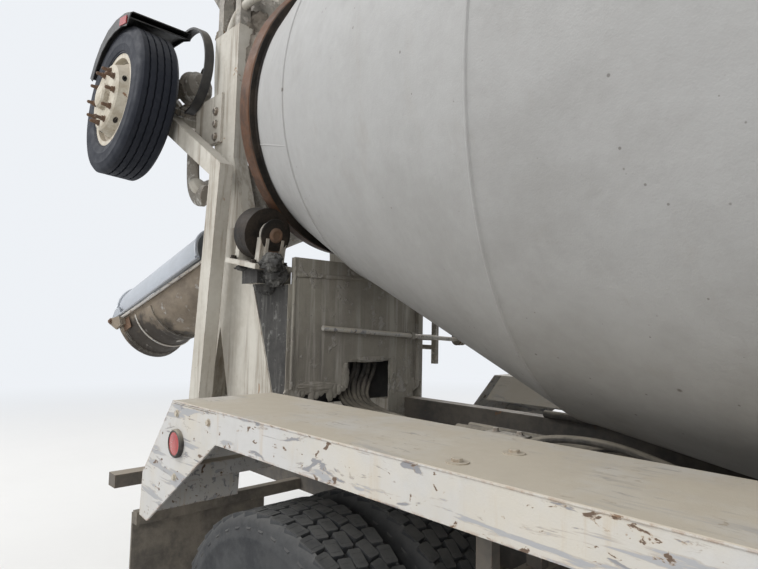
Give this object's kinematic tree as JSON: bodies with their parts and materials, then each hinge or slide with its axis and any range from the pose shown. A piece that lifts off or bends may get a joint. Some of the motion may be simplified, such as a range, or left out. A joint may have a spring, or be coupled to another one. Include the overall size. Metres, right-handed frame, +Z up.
{
  "type": "concrete mixer truck",
  "caption": "Conventional-cab concrete mixer truck with a tilted drum, a swivelling discharge chute and a raised trailing booster axle.",
  "frame": {"origin": "middle of the truck's length and width on the floor under its tyres", "axes": "+X to the front bumper, +Y to the truck's left, +Z up"},
  "size_m": [10.4048, 2.68, 3.895],
  "materials": {
    "cab_paint": "dusty white paint",
    "drum_paint": "dusty off-white paint with dried cement",
    "pedestal_paint": "cream paint with brown streaks",
    "chassis_paint": "dull black paint with road dirt",
    "grey_steel": "grey paint under concrete splashes",
    "fender_paint": "white paint, peeled and rust stained",
    "chute_paint": "worn paint and dried concrete",
    "rolled_steel": "rusty rolling surface with black grease",
    "polished_metal": "brushed",
    "bright_rod": "polished",
    "rim_paint": "dirty cream paint",
    "tyre_rubber": "dusty black rubber",
    "flap_rubber": "grey-brown mud film",
    "black_plastic": "dull",
    "window_glass": "clear",
    "red_lens": "red lens"
  },
  "bodies": {
    "root": {"frame_rails": "chassis_paint", "front_axle": "chassis_paint", "rear_axles": "chassis_paint", "walking_beams": "chassis_paint", "engine": "grey_steel", "front_bumper": "cab_paint", "cab_shell": "cab_paint", "cab_glass": "window_glass", "cab_interior": "black_plastic", "mirrors": "black_plastic", "tanks": "polished_metal", "step_box": "polished_metal", "exhaust_stack": "polished_metal", "tandem_fenders": "fender_paint", "mud_flaps": "flap_rubber", "front_pedestal": "pedestal_paint", "drum_drive": "grey_steel", "rear_pedestal": "pedestal_paint", "splash_panel": "grey_steel", "charge_hopper": "grey_steel", "collector": "grey_steel", "ladder": "grey_steel", "tail_lamps": "red_lens"},
    "hood_body": {"hood": "cab_paint", "grille": "polished_metal", "headlamps": "window_glass"},
    "door_left_body": {"door_left": "cab_paint", "door_glass_left": "window_glass"},
    "door_right_body": {"door_right": "cab_paint", "door_glass_right": "window_glass"},
    "knuckle_left_body": {"knuckle_left": "chassis_paint"},
    "knuckle_right_body": {"knuckle_right": "chassis_paint"},
    "drum_body": {"drum": "drum_paint", "drum_ring": "rolled_steel"},
    "roller_left_body": {"roller_left": "rolled_steel"},
    "roller_right_body": {"roller_right": "rolled_steel"},
    "booster_body": {"booster_arms": "grey_steel", "booster_fenders": "black_plastic"},
    "chute_base_body": {"chute_base": "grey_steel"},
    "main_chute_body": {"main_chute": "chute_paint"},
    "fold_chute_body": {"fold_chute": "chute_paint"},
    "chute_cylinder_body": {"chute_cylinder": "chassis_paint"},
    "chute_rod_body": {"chute_rod": "bright_rod"},
    "wheel_front_left": {"tyre_front_left": "tyre_rubber", "rim_front_left": "rim_paint"},
    "wheel_front_right": {"tyre_front_right": "tyre_rubber", "rim_front_right": "rim_paint"},
    "wheel_booster_left": {"tyre_booster_left": "tyre_rubber", "rim_booster_left": "rim_paint"},
    "wheel_booster_right": {"tyre_booster_right": "tyre_rubber", "rim_booster_right": "rim_paint"},
    "wheel_mid_left": {"tyres_mid_left": "tyre_rubber", "rim_mid_left": "rim_paint"},
    "wheel_mid_right": {"tyres_mid_right": "tyre_rubber", "rim_mid_right": "rim_paint"},
    "wheel_rear_left": {"tyres_rear_left": "tyre_rubber", "rim_rear_left": "rim_paint"},
    "wheel_rear_right": {"tyres_rear_right": "tyre_rubber", "rim_rear_right": "rim_paint"}
  },
  "joints": [
    {"name": "hood_tilt", "type": "hinge", "parent": "root", "child": "hood_body", "pos_m": [5.0925, 0, 0.83], "axis": [0, 1, 0], "range_deg": [0, 50]},
    {"name": "drum_spin", "type": "hinge", "parent": "root", "child": "drum_body", "pos_m": [-2.7295, 0, 2.744], "axis": [0.9841, 0, -0.1778], "continuous": true},
    {"name": "booster_lift", "type": "hinge", "parent": "root", "child": "booster_body", "pos_m": [-3.3975, 0, 0.98], "axis": [0, -1, 0], "range_deg": [0, 83]},
    {"name": "chute_swivel", "type": "hinge", "parent": "root", "child": "chute_base_body", "pos_m": [-3.9135, 0, 1.2], "axis": [0, 0, 1], "range_deg": [-87, 63]},
    {"name": "chute_lift", "type": "hinge", "parent": "chute_base_body", "child": "main_chute_body", "pos_m": [-3.9135, 0, 1.76], "axis": [-0.2079, 0.9781, 0], "range_deg": [-20, 12]},
    {"name": "chute_fold", "type": "hinge", "parent": "main_chute_body", "child": "fold_chute_body", "pos_m": [-5.09363, -0.25084, 1.58339], "axis": [0.2079, -0.9781, 0], "range_deg": [0, 170]},
    {"name": "chute_cylinder_swing", "type": "hinge", "parent": "chute_base_body", "child": "chute_cylinder_body", "pos_m": [-4.07, -0.03327, 1.075], "axis": [0.2079, -0.9781, 0], "range_deg": [-2, 2]},
    {"name": "chute_rod_slide", "type": "slide", "parent": "chute_cylinder_body", "child": "chute_rod_body", "axis": [-0.4881, -0.1038, 0.8666], "range_m": [-0.17, 0.105]},
    {"name": "door_left_swing", "type": "hinge", "parent": "root", "child": "door_left_body", "pos_m": [3.3345, 1.014, 1.8], "axis": [0, 0, -1], "range_deg": [0, 65]},
    {"name": "steer_left", "type": "hinge", "parent": "root", "child": "knuckle_left_body", "pos_m": [4.1225, 0.85, 0.515], "axis": [0, 0, 1], "range_deg": [-35, 35]},
    {"name": "wheel_front_left_spin", "type": "hinge", "parent": "knuckle_left_body", "child": "wheel_front_left", "pos_m": [4.1225, 1.02, 0.56], "axis": [0, 1, 0], "continuous": true},
    {"name": "wheel_mid_left_spin", "type": "hinge", "parent": "root", "child": "wheel_mid_left", "pos_m": [-0.4075, 0.915, 0.522], "axis": [0, 1, 0], "continuous": true},
    {"name": "wheel_rear_left_spin", "type": "hinge", "parent": "root", "child": "wheel_rear_left", "pos_m": [-1.7775, 0.915, 0.522], "axis": [0, 1, 0], "continuous": true},
    {"name": "wheel_booster_left_spin", "type": "hinge", "parent": "booster_body", "child": "wheel_booster_left", "pos_m": [-4.1425, 0.82, 3.006], "axis": [0, 0.9977, 0.068], "continuous": true},
    {"name": "roller_left_spin", "type": "hinge", "parent": "root", "child": "roller_left_body", "pos_m": [-2.89872, 0.555, 2.06042], "axis": [0.9841, 0, -0.1778], "continuous": true},
    {"name": "door_right_swing", "type": "hinge", "parent": "root", "child": "door_right_body", "pos_m": [3.3345, -1.014, 1.8], "axis": [0, 0, 1], "range_deg": [0, 65]},
    {"name": "steer_right", "type": "hinge", "parent": "root", "child": "knuckle_right_body", "pos_m": [4.1225, -0.85, 0.515], "axis": [0, 0, 1], "range_deg": [-35, 35]},
    {"name": "wheel_front_right_spin", "type": "hinge", "parent": "knuckle_right_body", "child": "wheel_front_right", "pos_m": [4.1225, -1.02, 0.56], "axis": [0, 1, 0], "continuous": true},
    {"name": "wheel_mid_right_spin", "type": "hinge", "parent": "root", "child": "wheel_mid_right", "pos_m": [-0.4075, -0.915, 0.522], "axis": [0, 1, 0], "continuous": true},
    {"name": "wheel_rear_right_spin", "type": "hinge", "parent": "root", "child": "wheel_rear_right", "pos_m": [-1.7775, -0.915, 0.522], "axis": [0, 1, 0], "continuous": true},
    {"name": "wheel_booster_right_spin", "type": "hinge", "parent": "booster_body", "child": "wheel_booster_right", "pos_m": [-4.1425, -0.82, 3.006], "axis": [0, 0.9977, -0.068], "continuous": true},
    {"name": "roller_right_spin", "type": "hinge", "parent": "root", "child": "roller_right_body", "pos_m": [-2.89872, -0.555, 2.06042], "axis": [0.9841, 0, -0.1778], "continuous": true}
  ],
  "couplings": [
    {"joint": "chute_cylinder_swing", "follows": "chute_lift", "ratio": 0.04},
    {"joint": "chute_rod_slide", "follows": "chute_lift", "m_per_rad": 0.4727},
    {"joint": "roller_left_spin", "follows": "drum_spin", "ratio": -5.6296},
    {"joint": "roller_right_spin", "follows": "drum_spin", "ratio": -5.6296},
    {"joint": "steer_right", "follows": "steer_left", "ratio": 1}
  ]
}
